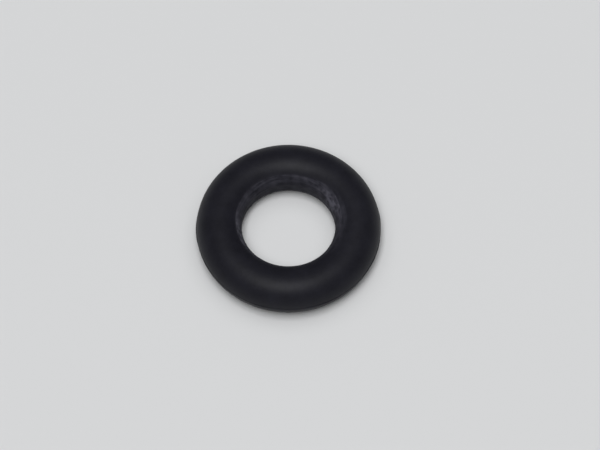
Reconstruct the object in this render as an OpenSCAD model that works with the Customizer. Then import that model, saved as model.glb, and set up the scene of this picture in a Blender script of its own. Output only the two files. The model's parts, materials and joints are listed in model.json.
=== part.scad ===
// O-ring: a rubber sealing ring of round section, moulded in one piece.
// The ring lies flat. The origin is the centre of its bore, in its mid-plane, and +Z runs along its axis.
// All sizes are in millimetres and degrees.

/* [Ring] */
// Bore, measured across the straight land
inner_d = 8; // [4:0.1:40]
// Diameter of the round section
section_d = 4; // [2:0.1:8]

/* [Ground bore] */
// Angle on the section from the mid-plane to each edge of the ground band
band_angle = 45; // [30:1:60]
// Depth that grinding takes off the round section at the mid-plane
band_trim = 0.07; // [0.02:0.01:0.12]
// Depth of the straight land below the crown of the ground band
land_trim = 0.04; // [0.01:0.01:0.08]

/* [Parting line] */
// Height that the parting line stands out of the rim
flash_h = 0.05; // [0.02:0.01:0.12]
// Width of the parting line along the axis
flash_w = 0.16; // [0.06:0.02:0.4]

/* [Hidden] */
$fn = 128;

rubber = "#28272a";

bore_r = inner_d / 2;
section_r = section_d / 2;

// Middle of the round section, and the rim that it would have with no parting line
ring_r = bore_r - land_trim - band_trim + section_r;
rim_r = ring_r + section_r;

// The ground band is a flatter arc. It meets the round section at both edges of the band,
// and its crown lies land_trim inside the bore
crown_r = bore_r - land_trim;
edge_x = ring_r - section_r * cos(band_angle);
edge_y = section_r * sin(band_angle);
band_rise = edge_x - crown_r;
band_r = (band_rise ^ 2 + edge_y ^ 2) / (2 * band_rise);

// The section as the mould makes it, before the bore is ground
module round_section() {
    translate([ring_r, 0]) circle(r = section_r);
}

// Everything that the grinding of the bore leaves: inside the flatter arc and outside the straight land
module left_by_grinding() {
    intersection() {
        translate([crown_r + band_r, 0]) circle(r = band_r);
        translate([bore_r, -section_d]) square(2 * section_d);
    }
}

// Flash left where the two halves of the mould meet, rooted in the middle of the section
module parting_line() {
    translate([ring_r, -flash_w / 2]) square([section_r + flash_h, flash_w]);
}

module o_ring() {
    color(rubber)
        rotate_extrude() {
            intersection() {
                round_section();
                left_by_grinding();
            }
            parting_line();
        }
}

o_ring();
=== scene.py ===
import json
import math

import bmesh
import bpy
from mathutils import Matrix, Vector, noise


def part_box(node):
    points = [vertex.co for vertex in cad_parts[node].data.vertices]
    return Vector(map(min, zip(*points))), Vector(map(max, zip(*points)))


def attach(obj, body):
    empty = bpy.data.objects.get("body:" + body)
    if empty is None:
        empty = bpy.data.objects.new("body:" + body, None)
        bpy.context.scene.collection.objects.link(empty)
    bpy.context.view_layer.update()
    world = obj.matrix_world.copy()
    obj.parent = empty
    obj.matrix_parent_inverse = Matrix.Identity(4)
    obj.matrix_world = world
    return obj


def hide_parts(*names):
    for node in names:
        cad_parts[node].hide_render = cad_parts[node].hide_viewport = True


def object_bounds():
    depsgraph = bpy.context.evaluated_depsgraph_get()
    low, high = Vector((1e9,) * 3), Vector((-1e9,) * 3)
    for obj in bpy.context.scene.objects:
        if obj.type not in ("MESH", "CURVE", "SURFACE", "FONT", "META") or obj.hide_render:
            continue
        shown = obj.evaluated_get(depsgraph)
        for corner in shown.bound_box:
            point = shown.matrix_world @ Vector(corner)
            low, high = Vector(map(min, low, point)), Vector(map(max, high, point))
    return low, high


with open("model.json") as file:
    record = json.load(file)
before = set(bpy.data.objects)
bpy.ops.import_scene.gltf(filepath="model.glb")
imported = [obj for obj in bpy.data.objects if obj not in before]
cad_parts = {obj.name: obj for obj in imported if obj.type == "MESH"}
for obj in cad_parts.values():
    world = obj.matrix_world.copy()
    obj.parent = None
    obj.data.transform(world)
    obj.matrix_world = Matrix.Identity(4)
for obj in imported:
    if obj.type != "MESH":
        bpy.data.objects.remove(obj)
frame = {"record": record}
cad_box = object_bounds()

# The ring: one piece of black nitrile rubber, pressed and cured in a two-part mould.
# Its section is round, a few micrometres uneven from shrinking as it cooled, and the ring lies flat.
MM = 0.001
SECTION_STEPS = 120
RING_STEPS = 450
SWELL_SIZE = 2.4 * MM
SWELL_DEPTH = 0.006 * MM
FLASH_H = 0.05 * MM

mount_sizes = {mount["name"]: mount["dims"] for mount in frame["record"]["mounts"]}
section_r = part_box("o_ring")[1].z
rim_r = mount_sizes["rim"]["r_mm"] * MM - FLASH_H
ring_r = rim_r - section_r


def place_on_ring(point):
    """Azimuth round the ring's axis, and angle on the section, counted from the mid-plane at the bore."""
    across = math.hypot(point.x, point.y)
    return math.atan2(point.y, point.x), math.atan2(point.z, ring_r - across)


def point_on_ring(azimuth, across, height):
    """The point at that azimuth, that far from the ring's axis and that high above its mid-plane."""
    return across * math.cos(azimuth), across * math.sin(azimuth), height


def dent(point, size):
    """Unevenness of that grain size at a point, from 0 to about 1."""
    return 0.5 + 0.5 * noise.noise(point / size)


def waver(azimuth, bumps, seed):
    """Slow unevenness round the ring, from about -1 to 1, with no seam."""
    return noise.noise(Vector(point_on_ring(azimuth, bumps, seed)))


def nearness(azimuth, centre, spread):
    """1 at that azimuth, falling to 0 away from it."""
    away = math.remainder(azimuth - centre, math.tau) / spread
    return math.exp(-away * away)


ring = bmesh.new()
stood_up = Matrix.Translation((ring_r, 0, 0)) @ Matrix.Rotation(math.pi / 2, 4, "X")
bmesh.ops.create_circle(ring, segments=SECTION_STEPS, radius=section_r, matrix=stood_up)


# The ground bore: the flash inside the ring was taken off on an abrasive mandrel, which left a flatter,
# rough band with a straight land along its middle. The mandrel pressed harder at both sides of the ring
# than at the front and back, and ran out furthest at one place.
BAND_ANGLE = math.radians(45)
BAND_TRIM = 0.07 * MM
SIDE_PRESS = math.radians(2.5)
EDGE_WAVER = math.radians(1.6)
EDGE_BUMPS = 5
UPPER_SEED = 3.5
LOWER_SEED = 11.5
RUNOUT = math.radians(7)
RUNOUT_AT = math.radians(42)
RUNOUT_SPREAD = math.radians(16)
SLIDE_END = math.radians(90)

bore_r = mount_sizes["bore"]["r_mm"] * MM


def band_edge(azimuth, upper):
    """Angle on the section at which the ground band ends."""
    extra = RUNOUT * nearness(azimuth, RUNOUT_AT, RUNOUT_SPREAD) if upper else 0
    pressed = SIDE_PRESS * math.cos(azimuth) ** 2
    uneven = EDGE_WAVER * waver(azimuth, EDGE_BUMPS, UPPER_SEED if upper else LOWER_SEED)
    return BAND_ANGLE + pressed + extra + uneven


def slid_to_edge(angle, edge):
    """The same angle once the mesh's loop at BAND_ANGLE has slid to the edge of the band."""
    size = abs(angle)
    if size <= BAND_ANGLE:
        share = size / BAND_ANGLE
    else:
        share = max(0, (SLIDE_END - size) / (SLIDE_END - BAND_ANGLE))
    return math.copysign(size + (edge - BAND_ANGLE) * share, angle)


def ground_r(angle, edge):
    """Distance of the ground surface from the middle of the section: a flatter arc, cut by the land."""
    rise = section_r * (1 - math.cos(edge)) - BAND_TRIM
    half = section_r * math.sin(edge)
    arc_r = (rise ** 2 + half ** 2) / (2 * rise)
    offset = arc_r - section_r + BAND_TRIM
    on_arc = math.sqrt(arc_r ** 2 - (offset * math.sin(angle)) ** 2) - offset * math.cos(angle)
    on_land = (ring_r - bore_r) / math.cos(angle)
    return min(on_arc, on_land)


# Marks that the abrasive left along the band
STREAK_LENGTH = 1.6 * MM
STREAK_WIDTH = 0.14 * MM
STREAK_DEPTH = 0.012 * MM
GRIT_SIZE = 0.22 * MM
GRIT_DEPTH = 0.010 * MM


def marks(point):
    """Depth of the streaks and pits at a point of the band."""
    streaked = Vector((point.x / STREAK_LENGTH, point.y / STREAK_LENGTH, point.z / STREAK_WIDTH))
    return STREAK_DEPTH * dent(streaked, 1) + GRIT_DEPTH * dent(point, GRIT_SIZE)


# How much of the skin went: the rubber tore at one place. Across from it, a pale stretch at the band's
# near left end is painted light, falling there from behind.
LAND_GRINDING = 0.7
RUNOUT_FROM = math.radians(40)
RUNOUT_LOSS = 0.3
TORN_AT = math.radians(28)
TORN_SPREAD = math.radians(22)
PAINTED_LIGHT_LEFT_AT = math.radians(196)
PAINTED_LIGHT_LEFT_SPREAD = math.radians(20)
PAINTED_LIGHT_LEFT_SHARE = 0.9


def run_out(azimuth, angle):
    """1 where the mandrel had all but left the rubber, past the band's usual edge, and 0 elsewhere."""
    past = min(1, max(0, (angle - RUNOUT_FROM) / RUNOUT))
    return past * nearness(azimuth, RUNOUT_AT, RUNOUT_SPREAD)


def band_tearing_and_painted_light(azimuth, angle):
    """How badly the rubber tore at one place round the band, together with painted light at the band's
    near left end, but not where the mandrel ran out.
    """
    torn = nearness(azimuth, TORN_AT, TORN_SPREAD)
    painted_light_left = PAINTED_LIGHT_LEFT_SHARE * nearness(azimuth, PAINTED_LIGHT_LEFT_AT, PAINTED_LIGHT_LEFT_SPREAD)
    return max(torn, painted_light_left) * (1 - run_out(azimuth, angle))


def band_grinding(azimuth, angle, edge):
    """How much of the skin was ground off: most at the band's edges and where the rubber tore, and raised
    by painted light at the band's near left end.
    """
    ground_off = LAND_GRINDING + (1 - LAND_GRINDING) * (angle / edge) ** 2
    return max(ground_off, band_tearing_and_painted_light(azimuth, angle)) * (1 - RUNOUT_LOSS * run_out(azimuth, angle))


# A paler margin beside the band, which near the band's right end reaches further up as painted light
# falling there from behind, and the narrow facet that a second, lighter pass left above it
MARGIN_PALENESS = 0.35
PALE_MARGIN = math.radians(3.5)
PAINTED_LIGHT_RIGHT_REACH = math.radians(20)
PAINTED_LIGHT_RIGHT_AT = math.radians(-12)
PAINTED_LIGHT_RIGHT_SPREAD = math.radians(26)
FACET_ANGLE = math.radians(61)
FACET_FADE = math.radians(3)
FACET_FROM = math.radians(-48)
FACET_TO = math.radians(42)
FACET_TRIM = 0.016 * MM
FACET_GRINDING = 0.58


def pale_margin_and_painted_light(azimuth, angle, edge):
    """Paleness beside the band: a narrow margin, with painted light reaching further up beside the second
    pass, at the band's near right end.
    """
    reach = PALE_MARGIN
    # Above the band, near its right end, the margin reaches further up as painted light.
    if angle > 0:
        reach += PAINTED_LIGHT_RIGHT_REACH * nearness(azimuth, PAINTED_LIGHT_RIGHT_AT, PAINTED_LIGHT_RIGHT_SPREAD)
    return MARGIN_PALENESS * math.exp((edge - abs(angle)) / reach)


def facet(azimuth, angle):
    """1 on the facet, fading to 0 at its upper side and at its ends."""
    along = (azimuth - FACET_FROM) / (FACET_TO - FACET_FROM)
    if angle < 0 or not 0 < along < 1:
        return 0
    inside = (FACET_ANGLE + FACET_FADE - angle) / FACET_FADE
    return math.sin(math.pi * along) * min(1, max(0, inside))


# Finer steps along the section where it was ground
BAND_CUTS = 2
FACET_CUTS = 1


def middle_angle(edge):
    """Angle on the section at the middle of an edge, on either side of the mid-plane."""
    return sum(abs(place_on_ring(vert.co)[1]) for vert in edge.verts) / 2


facet_end = FACET_ANGLE + 2 * FACET_FADE
band_edges = [edge for edge in ring.edges if middle_angle(edge) < BAND_ANGLE]
facet_edges = [edge for edge in ring.edges if BAND_ANGLE < middle_angle(edge) < facet_end]
bmesh.ops.subdivide_edges(ring, edges=band_edges, cuts=BAND_CUTS)
bmesh.ops.subdivide_edges(ring, edges=facet_edges, cuts=FACET_CUTS)


# The parting line: a fin of flash along the rim, where the two halves of the mould met.
# It was torn off by hand, so its height changes along the ring.
FLASH_TAPER = 0.6
FLASH_LEAST = 0.3
FLASH_USUAL = 0.65
SWING = 0.8
SWING_BUMPS = 4
SWING_SEED = 20.5
NICK = 0.3
NICK_BUMPS = 30
NICK_SEED = 5.5
SHARP_ANGLE = math.radians(40)
ROUNDING = 1e-6

flash_w = mount_sizes["rim"]["length_mm"] * MM


def flash_left(azimuth):
    """Share of the flash's height that is left at that azimuth."""
    swing = SWING * waver(azimuth, SWING_BUMPS, SWING_SEED)
    nick = NICK * waver(azimuth, NICK_BUMPS, NICK_SEED)
    return min(1, max(FLASH_LEAST, FLASH_USUAL + swing + nick))


# Two cuts across the section mark off the strip of the rim that carries the flash
for level in (-flash_w / 2, flash_w / 2):
    rim_verts = [vert for vert in ring.verts if vert.co.x > ring_r]
    rim_edges = [edge for edge in ring.edges if all(vert.co.x > ring_r for vert in edge.verts)]
    bmesh.ops.bisect_plane(ring, geom=rim_verts + rim_edges, plane_co=(0, 0, level), plane_no=(0, 0, 1))

# The section is swept round the axis, and each point then moves to the surface that the grinding left
bmesh.ops.spin(
    ring,
    geom=ring.verts[:] + ring.edges[:],
    cent=(0, 0, 0),
    axis=(0, 0, 1),
    angle=math.tau,
    steps=RING_STEPS,
    use_merge=True,
)
# Besides the grinding and tearing, these attributes also carry painted light at the band's near ends.
grinding = ring.verts.layers.float.new("grinding")
tearing_and_painted_light = ring.verts.layers.float.new("tearing_and_painted_light")
for vert in ring.verts:
    azimuth, angle = place_on_ring(vert.co)
    edge = band_edge(azimuth, angle > 0)
    angle = slid_to_edge(angle, edge)
    out = section_r - SWELL_DEPTH * dent(vert.co, SWELL_SIZE)
    if abs(angle) <= edge + ROUNDING:
        out = min(out, ground_r(angle, edge)) - marks(vert.co)
        vert[tearing_and_painted_light] = band_tearing_and_painted_light(azimuth, angle)
        vert[grinding] = band_grinding(azimuth, angle, edge)
    else:
        passed = facet(azimuth, angle)
        out -= FACET_TRIM * passed
        vert[grinding] = max(FACET_GRINDING * passed, pale_margin_and_painted_light(azimuth, angle, edge))
    vert.co = point_on_ring(azimuth, ring_r - out * math.cos(angle), out * math.sin(angle))

# The flash is raised from the strip of faces along the rim
flash_top = flash_w / 2 + ROUNDING * MM
flash_faces = [
    face for face in ring.faces
    if all(abs(vert.co.z) < flash_top and vert.co.xy.length > ring_r for vert in face.verts)
]
raised = bmesh.ops.extrude_face_region(ring, geom=flash_faces)["geom"]
bmesh.ops.delete(ring, geom=flash_faces, context="FACES")
for vert in [item for item in raised if isinstance(item, bmesh.types.BMVert)]:
    azimuth = place_on_ring(vert.co)[0]
    vert.co = point_on_ring(azimuth, rim_r + FLASH_H * flash_left(azimuth), vert.co.z * FLASH_TAPER)

# The finished mesh is shaded smooth, apart from the corners of the flash
bmesh.ops.recalc_face_normals(ring, faces=ring.faces)
for face in ring.faces:
    face.smooth = True
ring_mesh = bpy.data.meshes.new("o_ring_rubber")
ring.to_mesh(ring_mesh)
ring.free()
ring_mesh.set_sharp_from_angle(angle=SHARP_ANGLE)
rubber_ring = bpy.data.objects.new("rubber_ring", ring_mesh)
bpy.context.collection.objects.link(rubber_ring)


# Nitrile rubber with carbon black: a near-black satin skin where the mould pressed it, faintly clouded by
# bloom, and matt, paler and scratched along the bore where it was ground. The grain of a moulded skin is
# finer than SKIN_GRAIN, which is as coarse as it needs to be to show.
# The faint blue in these four rubber colours is painted light: a cast bounced from a blue surface that the
# scene does not have.
SKIN_DARK = "#16161c"
SKIN_BLOOM = "#1e1e25"
GROUND_DARK = "#202027"
GROUND_PALE = "#5b5a64"
BLOOM_SIZE = 1.8 * MM
BLOOM_FROM = 0.35
BLOOM_FULL = 0.68
SKIN_GRAIN = 0.2 * MM
PATCH_SIZE = 0.7 * MM
MOTTLE_FROM = 0.7
MOTTLE_FULL = 1.4
MOTTLE_PALENESS = 0.5
CRUMB_SIZE = 0.5 * MM
CRUMB_FROM = 0.36
CRUMB_FULL = 0.66
CRUMB_PALENESS = 0.8
BUMP_DEPTH = 0.012 * MM
BUMP_STRENGTH = 0.9
SKIN_ROUGHNESS = 0.5
GROUND_ROUGHNESS = 0.9
RUBBER_IOR = 1.52
RUBBER_SPECULAR = 0.15


def linear(hex_colour):
    """Linear colour with alpha from an sRGB hex value."""
    channels = [int(hex_colour[at:at + 2], 16) / 255 for at in (1, 3, 5)]
    return [c / 12.92 if c <= 0.04045 else ((c + 0.055) / 1.055) ** 2.4 for c in channels] + [1]


def add_node(tree, kind, inputs, **settings):
    """Adds a node with its settings. Each input is a value, or the socket that it is linked from."""
    node = tree.nodes.new(kind)
    for name, value in settings.items():
        setattr(node, name, value)
    for name, value in inputs.items():
        if isinstance(value, bpy.types.NodeSocket):
            tree.links.new(value, node.inputs[name])
        else:
            node.inputs[name].default_value = value
    return node


rubber = bpy.data.materials.new("nitrile_rubber")
rubber.use_nodes = True
tree = rubber.node_tree
tree.nodes.clear()
place = add_node(tree, "ShaderNodeTexCoord", {}).outputs["Object"]
# Besides the grinding and tearing, these two attributes also carry painted light at the band's near ends.
ground_and_painted_light = add_node(tree, "ShaderNodeAttribute", {}, attribute_name="grinding").outputs["Fac"]
tears_and_painted_light = add_node(tree, "ShaderNodeAttribute", {}, attribute_name="tearing_and_painted_light").outputs["Fac"]

# Bloom clouds the skin
bloom = add_node(
    tree, "ShaderNodeTexNoise",
    {"Vector": place, "Scale": 1 / BLOOM_SIZE, "Detail": 8, "Roughness": 0.75},
)
clouded = add_node(
    tree, "ShaderNodeMapRange",
    {"Value": bloom.outputs["Fac"], "From Min": BLOOM_FROM, "From Max": BLOOM_FULL},
)
skin = add_node(
    tree, "ShaderNodeMix",
    {"Factor": clouded.outputs["Result"], "A": linear(SKIN_DARK), "B": linear(SKIN_BLOOM)},
    data_type="RGBA",
)

# Scratches run round the bore: the noise is read on a circle, so it has no seam, and is squeezed in height
flat = add_node(tree, "ShaderNodeVectorMath", {0: place, 1: (1, 1, 0)}, operation="MULTIPLY")
unit = add_node(tree, "ShaderNodeVectorMath", {0: flat.outputs["Vector"]}, operation="NORMALIZE")
circle = add_node(
    tree, "ShaderNodeVectorMath",
    {0: unit.outputs["Vector"], "Scale": bore_r},
    operation="SCALE",
)
squeezed = add_node(
    tree, "ShaderNodeVectorMath",
    {0: place, 1: (0, 0, STREAK_LENGTH / STREAK_WIDTH)},
    operation="MULTIPLY",
)
round_bore = add_node(
    tree, "ShaderNodeVectorMath",
    {0: circle.outputs["Vector"], 1: squeezed.outputs["Vector"]},
    operation="ADD",
)
scratches = add_node(
    tree, "ShaderNodeTexNoise",
    {"Vector": round_bore.outputs["Vector"], "Scale": 1 / STREAK_LENGTH, "Detail": 4, "Roughness": 0.6},
)
patches = add_node(tree, "ShaderNodeTexNoise", {"Vector": place, "Scale": 1 / PATCH_SIZE, "Detail": 3})
scored = add_node(
    tree, "ShaderNodeMath",
    {0: scratches.outputs["Fac"], 1: patches.outputs["Fac"]},
    operation="ADD",
)
mottled = add_node(
    tree, "ShaderNodeMapRange",
    {
        "Value": scored.outputs["Value"],
        "From Min": MOTTLE_FROM,
        "From Max": MOTTLE_FULL,
        "To Max": MOTTLE_PALENESS,
    },
)

# Pale crumbs cling to the band where the rubber tore; at the band's near left end they are part of the
# painted light.
crumbs = add_node(tree, "ShaderNodeTexNoise", {"Vector": place, "Scale": 1 / CRUMB_SIZE, "Detail": 2})
flecks = add_node(
    tree, "ShaderNodeMapRange",
    {
        "Value": crumbs.outputs["Fac"],
        "From Min": CRUMB_FROM,
        "From Max": CRUMB_FULL,
        "To Max": CRUMB_PALENESS,
    },
)
paleness = add_node(
    tree, "ShaderNodeMath",
    {0: tears_and_painted_light, 1: flecks.outputs["Result"], 2: mottled.outputs["Result"]},
    operation="MULTIPLY_ADD",
)
ground_colour = add_node(
    tree, "ShaderNodeMix",
    {"Factor": paleness.outputs["Value"], "A": linear(GROUND_DARK), "B": linear(GROUND_PALE)},
    data_type="RGBA",
)
colour = add_node(
    tree, "ShaderNodeMix",
    {"Factor": ground_and_painted_light, "A": skin.outputs["Result"], "B": ground_colour.outputs["Result"]},
    data_type="RGBA",
)

# The skin has a fine grain, and the ground rubber stands up in the pattern of its scratches
grain = add_node(tree, "ShaderNodeTexNoise", {"Vector": place, "Scale": 1 / SKIN_GRAIN, "Detail": 4})
height = add_node(
    tree, "ShaderNodeMix",
    {"Factor": ground_and_painted_light, "A": grain.outputs["Fac"], "B": scored.outputs["Value"]},
)
bump = add_node(
    tree, "ShaderNodeBump",
    {"Height": height.outputs["Result"], "Strength": BUMP_STRENGTH, "Distance": BUMP_DEPTH},
)
roughness = add_node(
    tree, "ShaderNodeMapRange",
    {"Value": ground_and_painted_light, "To Min": SKIN_ROUGHNESS, "To Max": GROUND_ROUGHNESS},
)
surface = add_node(
    tree, "ShaderNodeBsdfPrincipled",
    {
        "Base Color": colour.outputs["Result"],
        "Roughness": roughness.outputs["Result"],
        "Normal": bump.outputs["Normal"],
        "IOR": RUBBER_IOR,
        "Specular IOR Level": RUBBER_SPECULAR,
    },
)
add_node(tree, "ShaderNodeOutputMaterial", {"Surface": surface.outputs["BSDF"]})

ring_mesh.materials.append(rubber)
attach(rubber_ring, "root")
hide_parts("o_ring")


# Floor: a plain sheet of pale matt paper, flat under the ring. It sweeps up a little towards its edge, so
# that it fills low views too.
FLOOR_COLOUR = "#d6d7d8"
PAPER_ROUGHNESS = 0.9
PAPER_SPECULAR = 0.1
FLAT_R = 0.5
FLOOR_R = 0.8
SWEEP_H = 0.05
SWEEP_STEPS = 10
FLOOR_STEPS = 96

floor_shape = bmesh.new()
floor_line = [floor_shape.verts.new((0, 0, cad_box[0].z))]
for step in range(SWEEP_STEPS + 1):
    share = step / SWEEP_STEPS
    out = FLAT_R + (FLOOR_R - FLAT_R) * share
    floor_line.append(floor_shape.verts.new((out, 0, cad_box[0].z + SWEEP_H * share ** 2)))
for inner, outer in zip(floor_line, floor_line[1:]):
    floor_shape.edges.new((inner, outer))
bmesh.ops.spin(
    floor_shape,
    geom=floor_shape.verts[:] + floor_shape.edges[:],
    cent=(0, 0, 0),
    axis=(0, 0, 1),
    angle=math.tau,
    steps=FLOOR_STEPS,
    use_merge=True,
)
bmesh.ops.remove_doubles(floor_shape, verts=floor_shape.verts, dist=ROUNDING)
bmesh.ops.recalc_face_normals(floor_shape, faces=floor_shape.faces)
for face in floor_shape.faces:
    face.smooth = True
floor_mesh = bpy.data.meshes.new("floor")
floor_shape.to_mesh(floor_mesh)
floor_shape.free()
floor = bpy.data.objects.new("floor", floor_mesh)
bpy.context.collection.objects.link(floor)

paper = bpy.data.materials.new("matt_paper")
paper.use_nodes = True
paper_surface = paper.node_tree.nodes["Principled BSDF"]
paper_surface.inputs["Base Color"].default_value = linear(FLOOR_COLOUR)
paper_surface.inputs["Roughness"].default_value = PAPER_ROUGHNESS
paper_surface.inputs["Specular IOR Level"].default_value = PAPER_SPECULAR
floor_mesh.materials.append(paper)


# Light: a soft box overhead, long from front to back and a little to the front and the left of the ring,
# a wide ceiling fill that glossy surfaces do not mirror, and a dim even room.
BOX_DISTANCE = 2.5
BOX_WIDTH = 0.8
BOX_LENGTH = 1.6
BOX_ELEVATION = math.radians(73)
BOX_SIDE = math.radians(3.5)
BOX_POWER = 42
CEILING_HEIGHT = 3
CEILING_SIZE = 3.6
CEILING_POWER = 40
ROOM_COLOUR = "#ffffff"
ROOM_LEVEL = 0.08

box_light = bpy.data.lights.new("soft_box", "AREA")
box_light.shape = "RECTANGLE"
box_light.size = BOX_WIDTH
box_light.size_y = BOX_LENGTH
box_light.energy = BOX_POWER
soft_box = bpy.data.objects.new("soft_box", box_light)
towards_box = Vector((-math.sin(BOX_SIDE), -math.cos(BOX_ELEVATION), math.sin(BOX_ELEVATION))).normalized()
soft_box.location = towards_box * BOX_DISTANCE
soft_box.rotation_mode = "QUATERNION"
soft_box.rotation_quaternion = towards_box.to_track_quat("Z", "Y")
bpy.context.collection.objects.link(soft_box)

ceiling_light = bpy.data.lights.new("ceiling", "AREA")
ceiling_light.size = CEILING_SIZE
ceiling_light.energy = CEILING_POWER
ceiling = bpy.data.objects.new("ceiling", ceiling_light)
ceiling.location = (0, 0, CEILING_HEIGHT)
ceiling.visible_glossy = False
bpy.context.collection.objects.link(ceiling)

room = bpy.data.worlds.new("room")
room.use_nodes = True
room_light = room.node_tree.nodes["Background"]
room_light.inputs["Color"].default_value = linear(ROOM_COLOUR)
room_light.inputs["Strength"].default_value = ROOM_LEVEL
bpy.context.scene.world = room
bpy.context.scene.view_settings.view_transform = "Standard"


# Camera: looks down on the ring from the front through a long lens. The pixel values are the ring's
# width and the place of its centre in the 600 by 450 picture.
PICTURE_W_PX = 600
PICTURE_H_PX = 450
RING_W_PX = 185.4
RING_X_PX = 288.5
RING_Y_PX = 228.2
ELEVATION = math.radians(61.7)
LENS_MM = 350

lens = bpy.data.cameras.new("camera")
lens.lens = LENS_MM
focal_px = LENS_MM / lens.sensor_width * PICTURE_W_PX
pixel = (cad_box[1].x - cad_box[0].x) / RING_W_PX
backwards = Vector((0, -math.cos(ELEVATION), math.sin(ELEVATION)))
upwards = Vector((0, math.sin(ELEVATION), math.cos(ELEVATION)))
sideways = Vector((1, 0, 0))
aim = (sideways * (PICTURE_W_PX / 2 - RING_X_PX) + upwards * (RING_Y_PX - PICTURE_H_PX / 2)) * pixel
camera = bpy.data.objects.new("camera", lens)
camera.location = aim + backwards * pixel * focal_px
camera.rotation_mode = "QUATERNION"
camera.rotation_quaternion = backwards.to_track_quat("Z", "Y")
bpy.context.collection.objects.link(camera)
bpy.context.scene.camera = camera
